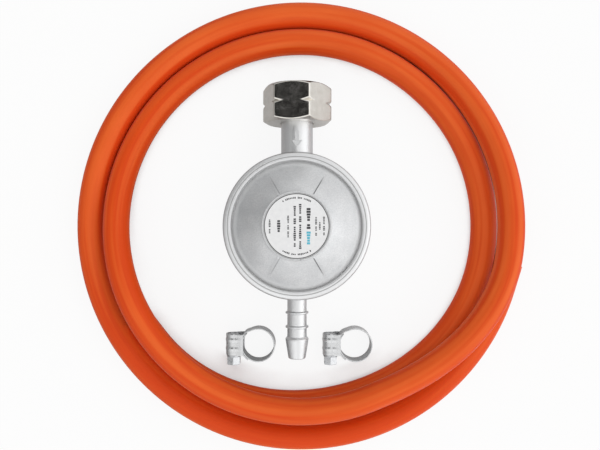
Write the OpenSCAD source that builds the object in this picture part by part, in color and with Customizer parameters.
// Low-pressure gas regulator kit, laid out on one flat surface: a round diaphragm
// regulator with its union nut, a coiled rubber hose and two worm-drive clamps.
// Frame: +Z up, +Y towards the union nut, origin under the middle of the regulator's foot.

/* [Housing] */
// Diameter over the rolled rim
rim_d = 71; // [66:0.5:86]
// Width of the rolled rim, seen from above
rim_w = 4.2; // [3.8:0.1:5]
// Diameter of the flat foot
foot_d = 44; // [38:0.5:50]
// Height of the seat that carries the edge of the diaphragm
seat_z = 26; // [26:0.5:31.5]
// Height of the inlet and outlet axis over the foot
axis_z = 17.8; // [17.6:0.1:18]
// Thickness of the casting's floor
floor_t = 3; // [2.4:0.1:3.6]

/* [Cover] */
// Height of the cover's cone, from the rim to the collar
cone_h = 11.8; // [9.5:0.1:14.5]
// Wall of the cover's cone
cover_wall = 2; // [1.7:0.1:2.4]
// Outer diameter of the collar round the closing plug
collar_d = 32.2; // [30:0.1:39]
// Wall of the collar beside the closing plug
collar_wall = 0.8; // [0.7:0.05:1]
// Number of gussets on the cone
rib_n = 4; // [4:2:6]
// Thickness of a gusset
rib_t = 1; // [0.8:0.1:1.4]

/* [Diaphragm unit] */
// Free radius of the steel diaphragm plate
plate_r = 20; // [17:0.5:21]
// Full upward travel of the diaphragm
travel = 1.8; // [1.2:0.1:1.9]
// Wire diameter of the loading spring
wire_d = 1.6; // [1.3:0.1:1.9]
// Turns of the loading spring
spring_turns = 4; // [3:0.5:4.5]

/* [Inlet] */
// Diameter of the inlet neck
neck_d = 15.7; // [13.1:0.1:16]
// Free length of the neck between the rim and the union nut
neck_len = 15.3; // [12:0.1:20]
// Width across the flats of the union nut
nut_af = 30; // [29:0.5:30]
// Length of the union nut
nut_len = 18.2; // [17.5:0.1:22]
// Nominal thread diameter of the union nut, W21.8 by 14 turns an inch, left hand
nut_thread_d = 21.8; // [20.5:0.1:22.5]
// Angle of the nut's top flat about its axis
nut_turn = -9.6; // [-30:0.1:30]

/* [Hose nozzle] */
// Diameter of the nozzle's shank
shank_d = 9.6; // [8:0.1:11]
// Diameter over the nozzle's ridges
ridge_d = 11.4; // [11.2:0.1:12]
// Bore of the nozzle
outlet_d = 6; // [5:0.1:6.5]
// Length of the nozzle beyond the rim
nozzle_len = 30.1; // [28:0.1:36]

/* [Hose] */
// Outer diameter of the hose
hose_d = 13; // [10.8:0.1:13]
// Bore of the hose
hose_bore = 9; // [7:0.1:9]
// Radius of the outer turn's centre line
coil_r = 108.5; // [105:0.5:120]

/* [Clamps] */
// Inner diameter of a clamp as supplied
clamp_bore = 16; // [13.5:0.1:19.2]
// Width of the band
band_w = 9; // [7.5:0.1:10.8]
// Thickness of the band
band_t = 0.7; // [0.6:0.05:0.85]
// Outer diameter of the worm screw
worm_d = 6.4; // [6:0.1:7]

/* [Hidden] */
$fn = 64;

// Colours
zinc = [0.72, 0.73, 0.74];
nickel = [0.80, 0.79, 0.76];
brass = [0.80, 0.66, 0.35];
steel = [0.62, 0.63, 0.65];
rubber = [0.12, 0.12, 0.12];
orange = [0.90, 0.33, 0.10];
white = [0.96, 0.96, 0.95];

// Clearances and small steps
run = 0.05;      // radial running clearance
slack = 0.3;     // clearance between parts that move apart
eps = 0.01;      // overlap of solids that are fused

// Housing
rim_r = rim_d / 2;
lip_r = rim_r - rim_w;              // inner edge of the rolled lip
edge_r = rim_r - 2.1;               // groove that holds cover and diaphragm
cavity_r = rim_r - 5.5;             // chamber under the diaphragm
foot_r = foot_d / 2;
foot_h = 1.2;                       // the foot stands proud of the bowl
edge_t = 1.4;                       // thickness of the diaphragm's edge
flange_t = 2;                       // thickness of the cover's flange
lip_t = 2.2;                        // height of the rolled lip over the flange
flange_z = seat_z + edge_t;
flange_top = flange_z + flange_t;
rim_top = flange_top + lip_t;
rim_z = seat_z - 2.5;               // underside of the rim
lip_round = 2;                      // rounding of the rim's outer edge
bowl_steps = 9;

// Cover
collar_r = collar_d / 2;
cone_r0 = lip_r - 0.3;              // foot of the cone, just inside the lip
cone_r1 = collar_r + 0.5;           // head of the cone, at the collar
cone_bulge = 0.25;                  // how much the cone is domed
plug_r = collar_r - collar_wall;    // recess for the closing plug
collar_top = flange_top + cone_h + 2.8;
plug_seat = collar_top - 1.8;       // shoulder under the closing plug
thread_r = plug_r - 1.7;            // bore of the adjusting thread
boss_z = plug_seat - 5.8;           // lower end of the threaded boss
notch_w = 4.3;                      // prising and breathing notch in the collar
rib_r = lip_r - 3.8;                // outer end of a gusset
rib_h = 0.9;                        // height of a gusset over the cone
rib_steps = 8;

// Diaphragm unit
rest_z = seat_z - 0.4;              // underside of the membrane's middle, at rest
skin = 0.8;                         // thickness of the membrane
plate_t = 1;
roll_h = 2.6;                       // height of the rolled convolution
plate_z = rest_z + skin;
stem_r = 2.5;
stem_low = 7.6;                     // lower end of the stem
nut_z = boss_z + 1.8;               // underside of the adjusting nut
spring_r = 10.5;                    // mean radius of the loading spring
spring_rings = 12;                  // rings to each turn of the spring

// Valve train, in the plane x = 0
pin_y = 14;                         // lever pin, along X
pin_z = 10;
pin_r = 1;
lever_w = 2.6;                      // width along X
lever_t = 1.4;
hub_r = 2.2;
tip_r = 1.2;
short_arm = axis_z - pin_z;
carrier_r = 3.5;
carrier_y = 11.4;
guide_y = 16.6;
guide_t = 3.6;
valve_gap = 0.1;                    // what is left between pad and jet when shut
valve_travel = travel * short_arm / pin_y;
pad_r = 2.6;
pad_y = 18.4;
pad_t = 2;
jet_y = pad_y + pad_t + valve_travel + valve_gap;
jet_nose = 0.9;
jet_flange_t = 1.2;
boss_y = jet_y + jet_nose + jet_flange_t;
boss_r = 6.5;
jet_r = 3.5;
jet_len = 7.5;
lug_t = 3;
lug_x = lever_w / 2 + 0.4;

// Inlet
neck_r = neck_d / 2;
nut_y = rim_r + neck_len;
nut_back = 4;                       // thickness of the nut's collar
neck_end = nut_y + nut_back + slack;
nut_r = nut_af / 2 / cos(30);
nut_bore_r = nut_thread_d / 2;
nipple_r = 5;
nipple_shank = 8.1;
nipple_flange_r = nut_bore_r - 1.4;
nipple_flange_t = 2.2;
nose_r = 6.4;
nose_len = 8.7;
filter_len = 6;

// Nozzle
shank_r = shank_d / 2;
ridge_r = ridge_d / 2;
nozzle_end = rim_r + nozzle_len;
cone_len = 10.8;
tip_end_r = 4.3;
ridge_w = 1.5;

// Clamps: the ring's centre stands at the clamp's own origin, the screw runs along Y
housing_h = band_w + 1;             // the housing straddles the band's edges
band_z = (housing_h - band_w) / 2;
band_r = clamp_bore / 2;
band_out = band_r + band_t;         // outside of the single band
lap_out = band_r + 2 * band_t;      // outside of the lapped band
worm_r = worm_d / 2;
worm_x = -(lap_out + worm_r + 0.15);
tunnel_wall = 0.8;
tunnel_r = worm_r + 0.15 + tunnel_wall;
housing_len = 11;
end_wall = 0.8;
screw_neck_r = 2;
screw_neck = end_wall + 0.4;
head_r = 3.7;
head_len = 4.8;
clamp_y = -61;
clamp_left_x = -20;
clamp_right_x = 30;

// Hose: stations along the coil, each [angle, radius, height], angles counted on
// through the turns. Radii are given from the outer turn's centre line and heights
// from the surface, both in hose diameters; eased between stations.
coil_x = 2;
coil_y = 0;
coil_rings = 24;                    // rings to each turn
hose_sides = 6;
low = 0.5;
STATIONS = [
  [-142, 1.04, low], [-75, 1.36, low], [-12, 1.1, low], [40, 1.1, low], [90, 1.04, low],
  [150, 1.04, low], [206, 1.3, 1.54], [292, 1.3, 1.54], [352, 0.36, 1.54], [358, 0.36, 1.54],
  [424, 0, low], [703, 0, low]];

// ---------- shared helpers ----------

// Points on an arc about (cx, cy), from angle a0 to a1
function arc(cx, cy, rx, ry, a0, a1, n) =
  [for (i = [0 : n]) let (a = a0 + (a1 - a0) * i / n) [cx + rx * cos(a), cy + ry * sin(a)]];

function smooth(t) = t * t * (3 - 2 * t);

// Value k of a table of stations at angle a, eased between its rows
function eased(table, a, k) =
  let (last = len(table) - 2,
    i = [for (j = [0 : last]) if (j == last || a <= table[j + 1][0]) j][0],
    t = min(1, max(0, (a - table[i][0]) / (table[i + 1][0] - table[i][0]))))
  table[i][k] + (table[i + 1][k] - table[i][k]) * smooth(t);

function unit(v) = v / norm(v);

// Direction of a path at its point i
function heading(p, i) = unit(p[min(i + 1, len(p) - 1)] - p[max(i - 1, 0)]);

// A ring of points round a path's point, with one corner straight down
function ring(c, dir, r, sides) =
  let (side = unit(cross(dir, [0, 0, 1])), up = cross(side, dir))
  [for (j = [0 : sides - 1]) let (a = 360 * j / sides) c + r * (sin(a) * side - cos(a) * up)];

// A tube swept along a path; hole_r = 0 gives a solid rod
module sweep(path, r, sides, hole_r = 0) {
  n = len(path);
  outer = [for (i = [0 : n - 1]) each ring(path[i], heading(path, i), r, sides)];
  inner = hole_r == 0 ? [] : [for (i = [0 : n - 1]) each ring(path[i], heading(path, i), hole_r, sides)];
  m = n * sides;
  skin_faces = [for (i = [0 : n - 2], j = [0 : sides - 1])
    let (a = i * sides + j, b = i * sides + (j + 1) % sides)
    each [[a, b, b + sides], [a, b + sides, a + sides]]];
  bore_faces = [for (f = skin_faces) [f[0] + m, f[2] + m, f[1] + m]];
  start_ring = [for (j = [0 : sides - 1]) let (k = (j + 1) % sides)
    each [[j, m + k, k], [j, m + j, m + k]]];
  end_ring = [for (f = start_ring) [f[0] + m - sides, f[2] + m - sides, f[1] + m - sides]];
  caps = [[for (j = [sides - 1 : -1 : 0]) j], [for (j = [0 : sides - 1]) m - sides + j]];
  faces = hole_r == 0 ? concat(skin_faces, caps) : concat(skin_faces, bore_faces, start_ring, end_ring);
  polyhedron(concat(outer, inner), [for (f = faces) [for (k = [len(f) - 1 : -1 : 0]) f[k]]]);
}

// Lays a shape that was made about Z along +Y, at the height of the inlet axis
module along_y(y) {
  translate([0, y, axis_z]) rotate([-90, 0, 0]) children();
}

// ---------- housing ----------

// Half section of the lower casting: bowl, rim, groove and rolled lip
module bowl_section() {
  bowl_r = rim_r - 1.2;
  polygon(concat(
    [[0, 0], [foot_r - 0.6, 0], [foot_r, 0.6]],
    arc(foot_r, rim_z, bowl_r - foot_r, rim_z - foot_h, 270, 360, bowl_steps),
    [[rim_r - 0.6, rim_z], [rim_r, rim_z + 0.6]],
    arc(rim_r - lip_round, rim_top - lip_round, lip_round, lip_round, 0, 90, 6),
    arc(lip_r + 0.8, rim_top - 0.8, 0.8, 0.8, 90, 180, 4),
    [[lip_r, flange_top], [edge_r, flange_top], [edge_r, seat_z], [cavity_r, seat_z]],
    arc(foot_r - 2, seat_z - 1, cavity_r - foot_r + 2, seat_z - 1 - floor_t, 360, 270, bowl_steps),
    [[0, floor_t]]));
}

// Half section of the hose nozzle; its lengths count outwards from the rim's radius
module nozzle_section() {
  root = cavity_r + 1 - rim_r;
  shoulder = nozzle_len - cone_len;
  polygon([[0, root], [shank_r, root], [shank_r, shoulder - 0.1], [ridge_r, shoulder + 1],
    [ridge_r, shoulder + 1.6], [tip_end_r, nozzle_len - 0.3], [tip_end_r - 0.3, nozzle_len],
    [0, nozzle_len]]);
}

// A round-edged ring that keeps the hose from slipping off
module nozzle_ridge(y) {
  translate([0, 0, y]) rotate_extrude()
    polygon([[shank_r - 1, -ridge_w / 2], [shank_r, -ridge_w / 2], [ridge_r, -ridge_w / 5],
      [ridge_r, ridge_w / 5], [shank_r, ridge_w / 2], [shank_r - 1, ridge_w / 2]]);
}

// Raised flow arrow on the neck, from the union nut towards the housing
module flow_arrow() {
  arrow_l = 8;
  translate([0, rim_r + neck_len / 2 - 1, axis_z + neck_r - 0.9]) linear_extrude(1.15)
    polygon([[-1, arrow_l / 2], [-1, -0.5], [-2.6, -0.5], [0, -arrow_l / 2], [2.6, -0.5], [1, -0.5],
      [1, arrow_l / 2]]);
}

module body_casting() {
  guide_x = carrier_r + 2;
  guide_top = axis_z + carrier_r + 1.9;
  lug_top = pin_z + 2.4;
  lug_out = lug_x + lug_t;
  color(zinc) difference() {
    union() {
      rotate_extrude($fn = 96) bowl_section();
      along_y(cavity_r + 1) cylinder(r = neck_r, h = neck_end - cavity_r - 1);
      along_y(boss_y) cylinder(r = boss_r, h = cavity_r + 1 - boss_y + eps);
      mirror([0, 1, 0]) along_y(rim_r) rotate_extrude() nozzle_section();
      for (d = [7.4, 14.4]) mirror([0, 1, 0]) along_y(rim_r + d) nozzle_ridge(0);
      for (s = [-1, 1]) translate([s * (lug_x + lug_t / 2) - lug_t / 2, pin_y - 3.4, floor_t - 1])
        cube([lug_t, 6.2, lug_top - floor_t + 1]);
      translate([-guide_x, guide_y, floor_t - 1]) cube([2 * guide_x, guide_t, guide_top - floor_t + 1]);
      flow_arrow();
    }
    along_y(boss_y - 1) cylinder(r = jet_r, h = neck_end - nipple_shank - boss_y + 2);
    along_y(neck_end - nipple_shank) cylinder(r = nipple_r, h = nipple_shank + 1);
    along_y(guide_y - 1) cylinder(r = carrier_r + run, h = guide_t + 2);
    mirror([0, 1, 0]) along_y(cavity_r - 6) cylinder(d = outlet_d, h = nozzle_end);
    translate([-lug_out - 1, pin_y, pin_z]) rotate([0, 90, 0]) cylinder(r = pin_r, h = 2 * lug_out + 2);
  }
}

// Height of the cone's outer surface at radius r
function cone_z(r) =
  let (t = (cone_r0 - r) / (cone_r0 - cone_r1)) flange_top + 0.2 + cone_h * t * (1 + cone_bulge * (1 - t));

module cover_section() {
  n = 10;
  outside = [for (i = [0 : n]) let (r = cone_r0 + (cone_r1 - cone_r0) * i / n) [r, cone_z(r)]];
  inside = [for (i = [n : -1 : 0]) let (r = cone_r0 + (cone_r1 - cone_r0) * i / n)
    if (r - cover_wall > thread_r + 2) [r - cover_wall, cone_z(r) - cover_wall]];
  inner_top = cone_z(thread_r + 2 + cover_wall) - cover_wall;
  polygon(concat(
    [[cone_r0 - cover_wall, flange_z], [edge_r, flange_z], [edge_r, flange_top], [cone_r0, flange_top]],
    outside,
    [[collar_r, cone_z(cone_r1) + 0.4], [collar_r, collar_top - 0.3], [collar_r - 0.3, collar_top],
      [plug_r, collar_top], [plug_r, plug_seat], [thread_r, plug_seat], [thread_r, boss_z],
      [thread_r + 2, boss_z], [thread_r + 2, inner_top]],
    inside));
}

// A thin gusset that dies out on the cone
module gusset() {
  r0 = collar_r - 0.4;
  top = [for (i = [0 : rib_steps]) let (s = i / rib_steps, r = r0 + (rib_r - r0) * s)
    [r, cone_z(max(r, cone_r1)) + rib_h * (1 - s * s)]];
  low_edge = [for (i = [rib_steps : -1 : 0]) let (r = r0 + (rib_r - r0) * i / rib_steps)
    [r, cone_z(max(r, cone_r1)) - 1]];
  rotate([90, 0, 0]) translate([0, 0, -rib_t / 2]) linear_extrude(rib_t) polygon(concat(top, low_edge));
}

module cover() {
  color(zinc) difference() {
    union() {
      rotate_extrude($fn = 96) cover_section();
      for (i = [1 : rib_n / 2], s = [-1, 1]) rotate([0, 0, s * 180 / (rib_n / 2 + 1) * i]) gusset();
    }
    translate([-notch_w / 2, -collar_r - 1, plug_seat]) cube([notch_w, collar_r - plug_r + 1.5, 3]);
    translate([0, -thread_r - 0.85, boss_z - 1]) cylinder(r = 0.6, h = plug_seat - boss_z + 2, $fn = 24);
  }
}

module closing_plug() {
  color(rubber) difference() {
    translate([0, 0, plug_seat]) cylinder(r = plug_r - run, h = 1.2);
    translate([-notch_w / 2, -plug_r - 1, plug_seat - 1]) cube([notch_w, 2.6, 3]);
  }
}

module label_disc() {
  color(white) translate([0, 0, plug_seat + 1.2]) cylinder(r = plug_r - 0.3, h = 0.25);
}

// ---------- spring chamber ----------

module adjusting_nut() {
  color(brass) difference() {
    union() {
      translate([0, 0, nut_z]) cylinder(r = thread_r, h = plug_seat - nut_z - 0.4);
      translate([0, 0, nut_z - 1.4]) cylinder(r = spring_r - wire_d / 2 - 0.4, h = 1.5);
    }
    translate([0, 0, nut_z - 2]) cylinder(r = 5.2, h = 8, $fn = 6);
  }
}

module loading_spring() {
  low_z = plate_z + plate_t + wire_d / 2 + run;
  high_z = nut_z - wire_d / 2 - run;
  steps = spring_turns * spring_rings;
  path = [for (i = [0 : steps]) let (a = 360 * i / spring_rings)
    [spring_r * cos(a), spring_r * sin(a), low_z + (high_z - low_z) * i / steps]];
  color(steel) sweep(path, wire_d / 2, 6);
}

module diaphragm() {
  n = 10;
  roll_r0 = plate_r + 0.8;
  roll_r1 = cavity_r - 0.4;
  roll = [for (i = [0 : n]) let (s = i / n) [roll_r0 + (roll_r1 - roll_r0) * s,
    rest_z + (seat_z - rest_z) * smooth(s) + roll_h * sin(180 * s)]];
  color(rubber) rotate_extrude($fn = 96) polygon(concat(
    [[stem_r, rest_z]], roll, [[edge_r, seat_z], [edge_r, flange_z], [cavity_r, flange_z]],
    [for (i = [n : -1 : 0]) roll[i] + [0, skin]], [[stem_r, plate_z]]));
}

module diaphragm_plate() {
  color(steel) rotate_extrude($fn = 96)
    polygon([[stem_r, plate_z], [plate_r - 1, plate_z], [plate_r, plate_z + 1], [plate_r, plate_z + 2.2],
      [plate_r - 1, plate_z + 2.2], [plate_r - 1, plate_z + 1.4], [plate_r - 1.4, plate_z + plate_t],
      [stem_r, plate_z + plate_t]]);
}

module diaphragm_stem() {
  slot_h = lever_t + 1;
  color(brass) difference() {
    union() {
      translate([0, 0, stem_low]) cylinder(r = stem_r, h = plate_z + plate_t + 3.2 - stem_low);
      translate([0, 0, rest_z - 1.2]) cylinder(r = 7, h = 1.2);
    }
    translate([-lever_w / 2 - slack, -stem_r - 1, pin_z - slot_h / 2])
      cube([lever_w + 2 * slack, 2 * stem_r + 2, slot_h]);
  }
}

module stem_nut() {
  color(brass) difference() {
    translate([0, 0, plate_z + plate_t]) cylinder(r = 4.6, h = 2.4, $fn = 6);
    translate([0, 0, plate_z]) cylinder(r = stem_r, h = 6);
  }
}

// ---------- valve train ----------

// Bell crank: the long arm reaches through the stem, the short arm pushes the valve
module lever() {
  color(steel) translate([-lever_w / 2, 0, 0]) rotate([90, 0, 90]) linear_extrude(lever_w) difference() {
    union() {
      translate([pin_y, pin_z]) circle(r = hub_r);
      translate([-3.2, pin_z - lever_t / 2]) square([pin_y + 3.2, lever_t]);
      translate([pin_y - lever_t / 2, pin_z]) square([lever_t, short_arm]);
      translate([pin_y, axis_z]) circle(r = tip_r);
    }
    translate([pin_y, pin_z]) circle(r = pin_r + run);
  }
}

module lever_pin() {
  lug_out = lug_x + lug_t;
  color(steel) translate([-lug_out, pin_y, pin_z]) rotate([0, 90, 0]) cylinder(r = pin_r, h = 2 * lug_out);
}

module valve_carrier() {
  color(brass) difference() {
    along_y(carrier_y) cylinder(r = carrier_r, h = pad_y + pad_t - 0.4 - carrier_y);
    along_y(pad_y) cylinder(r = pad_r, h = pad_t);
    translate([-lever_w / 2 - slack, pin_y - tip_r - 0.1, axis_z - carrier_r - 1])
      cube([lever_w + 2 * slack, 2 * tip_r + 0.2, carrier_r + 1 + tip_r + 0.4]);
  }
}

module valve_pad() {
  color(rubber) along_y(pad_y) cylinder(r = pad_r, h = pad_t);
}

module inlet_jet() {
  color(brass) difference() {
    union() {
      along_y(jet_y) cylinder(r1 = 1.8, r2 = 2.8, h = jet_nose);
      along_y(jet_y + jet_nose) cylinder(r = 4.8, h = jet_flange_t, $fn = 6);
      along_y(boss_y - eps) cylinder(r = jet_r, h = jet_len);
    }
    along_y(jet_y - 1) cylinder(r = 1.1, h = jet_len + 4, $fn = 32);
    along_y(boss_y + 1) cylinder(r = 2, h = jet_len, $fn = 32);
  }
}

module inlet_filter() {
  color(brass) along_y(neck_end - nipple_shank - filter_len) cylinder(r = jet_r, h = filter_len);
}

// Screwed into the neck; its flange keeps the union nut on
module inlet_nipple() {
  nose_y = nipple_shank + nipple_flange_t;
  color(brass) along_y(neck_end - nipple_shank) rotate_extrude()
    polygon(concat(
      [[2.2, 0], [nipple_r, 0], [nipple_r, nipple_shank], [nipple_flange_r, nipple_shank],
        [nipple_flange_r, nose_y], [nose_r, nose_y]],
      arc(nose_r - 3, nose_y + nose_len - 4, 3, 4, 0, 90, 6),
      [[2.2, nose_y + nose_len]]));
}

module sealing_gasket() {
  color(rubber) along_y(neck_end + nipple_flange_t) difference() {
    cylinder(r = nipple_flange_r - 0.1, h = 2);
    translate([0, 0, -1]) cylinder(r = nose_r, h = 4);
  }
}

// Hexagon with chamfered corners, a groove round the corners that marks the left-hand
// thread, and a collar at the back that bears on the nipple's flange
module union_nut() {
  cut = 1.5;       // length of the chamfers
  groove = 1.9;    // half width of the groove, past the corners
  color(nickel) along_y(nut_y) difference() {
    intersection() {
      rotate([0, 0, nut_turn]) cylinder(r = nut_r, h = nut_len, $fn = 6);
      rotate_extrude($fn = 96) polygon([[0, 0], [nut_af / 2 - 0.2, 0], [nut_r, cut], [nut_r, nut_len - cut],
        [nut_af / 2 - 0.2, nut_len], [0, nut_len]]);
    }
    rotate_extrude($fn = 96) polygon([[nut_r + 1, nut_len / 2 - groove], [nut_r + 1, nut_len / 2 + groove],
      [nut_r - 1.5, nut_len / 2]]);
    translate([0, 0, -1]) cylinder(r = neck_r + slack, h = nut_len);
    translate([0, 0, nut_back]) cylinder(r = nut_bore_r, h = nut_len);
    translate([0, 0, nut_len - 1]) cylinder(r1 = nut_bore_r, r2 = nut_bore_r + 1.01, h = 1.01);
  }
}

// ---------- hose ----------

function coil_point(a) =
  let (r = coil_r - hose_d * eased(STATIONS, a, 1))
  [coil_x + r * cos(a), coil_y + r * sin(a), hose_d * eased(STATIONS, a, 2)];

coil_a0 = STATIONS[0][0];
coil_a1 = STATIONS[len(STATIONS) - 1][0];
coil_n = round((coil_a1 - coil_a0) / 360 * coil_rings);
turns = [for (i = [0 : coil_n]) coil_point(coil_a0 + (coil_a1 - coil_a0) * i / coil_n)];

// The ends run straight for one hose diameter
function tangent(a) = [-sin(a), cos(a), 0];
hose_path = concat([turns[0] - hose_d * tangent(coil_a0)], turns,
  [turns[coil_n] + hose_d * tangent(coil_a1)]);

// Length, and the least gap between stretches of the hose, measured on fine points
fine_n = 700;
fine = [for (i = [0 : fine_n]) coil_point(coil_a0 + (coil_a1 - coil_a0) * i / fine_n)];
fine_steps = [for (i = [1 : fine_n]) norm(fine[i] - fine[i - 1])];
hose_length = fine_steps * [for (i = [1 : fine_n]) 1] + 2 * hose_d;
half_turn = round(fine_n * 180 / (coil_a1 - coil_a0));
spread = min([for (i = [0 : 2 : fine_n - half_turn], j = [i + half_turn : 2 : fine_n])
  norm(fine[i] - fine[j])]);
echo(hose_length = hose_length, least_gap = spread - hose_d);

module hose() {
  color(orange) sweep(hose_path, hose_d / 2, hose_sides, hose_bore / 2);
}

// ---------- clamps ----------

module ring_sector(r_in, r_out, h, a0, a1) {
  rotate([0, 0, a0]) rotate_extrude(angle = a1 - a0, $fn = 96)
    translate([r_in, 0]) square([r_out - r_in, h]);
}

// A full ring, lapped once more under the housing, with its free end showing below it
module band() {
  color(steel) translate([0, 0, band_z]) union() {
    difference() {
      cylinder(r = band_out, h = band_w, $fn = 96);
      translate([0, 0, -1]) cylinder(r = band_r, h = band_w + 2, $fn = 96);
    }
    ring_sector(band_out - eps, lap_out, band_w, 138, 236);
  }
}

// Sets a shape that was made about Z along -Y, from a point y on the worm's axis
module along_worm(y) {
  translate([worm_x, y, housing_h / 2]) rotate([90, 0, 0]) children();
}

// Pressed housing: a tunnel round the worm, flared to straddle the band
module clamp_housing() {
  half = housing_len / 2;
  flare = -worm_x - band_r + 0.4;
  color(steel) difference() {
    union() {
      along_worm(half) cylinder(r = tunnel_r, h = housing_len);
      along_worm(half) linear_extrude(housing_len)
        polygon([[0, -tunnel_r], [flare, -housing_h / 2], [flare, housing_h / 2], [0, tunnel_r]]);
    }
    along_worm(half + 1) cylinder(r = worm_r + 0.15, h = housing_len + 1 - end_wall);
    along_worm(0) cylinder(r = screw_neck_r + 0.1, h = housing_len);
    translate([0, 0, band_z]) cylinder(r = lap_out, h = band_w, $fn = 96);
    translate([0, 0, -1]) cylinder(r = band_r, h = housing_h + 2, $fn = 96);
  }
}

// Worm screw: worm inside the housing, neck through its end wall, slotted hexagon head
module clamp_screw() {
  worm_start = -housing_len / 2 + 0.4;
  worm_end = housing_len / 2 - end_wall - 0.2;
  head = housing_len / 2 + 0.2;
  washer = 0.8;
  slot_w = 1.2;
  slot_d = 1.8;
  color(steel) along_worm(0) difference() {
    union() {
      translate([0, 0, worm_start]) cylinder(r = worm_r, h = worm_end - worm_start);
      translate([0, 0, worm_end - eps]) cylinder(r = screw_neck_r, h = screw_neck + 0.2);
      translate([0, 0, head]) cylinder(r = head_r, h = washer);
      translate([0, 0, head + washer - eps]) cylinder(r = head_r, h = head_len - washer, $fn = 6);
    }
    translate([-head_r - 1, -slot_w / 2, head + head_len - slot_d])
      cube([2 * head_r + 2, slot_w, slot_d + 1]);
  }
}

module at_left() {
  translate([clamp_left_x, clamp_y, 0]) children();
}

module at_right() {
  translate([clamp_right_x, clamp_y, 0]) children();
}

body_casting();
cover();
closing_plug();
label_disc();
adjusting_nut();
loading_spring();
diaphragm();
diaphragm_plate();
diaphragm_stem();
stem_nut();
lever();
lever_pin();
valve_carrier();
valve_pad();
inlet_jet();
inlet_filter();
inlet_nipple();
sealing_gasket();
union_nut();
hose();
at_left() band();  // clamp_left_band
at_left() clamp_housing();  // clamp_left_housing
at_left() clamp_screw();  // clamp_left_screw
at_right() band();  // clamp_right_band
at_right() clamp_housing();  // clamp_right_housing
at_right() clamp_screw();  // clamp_right_screw
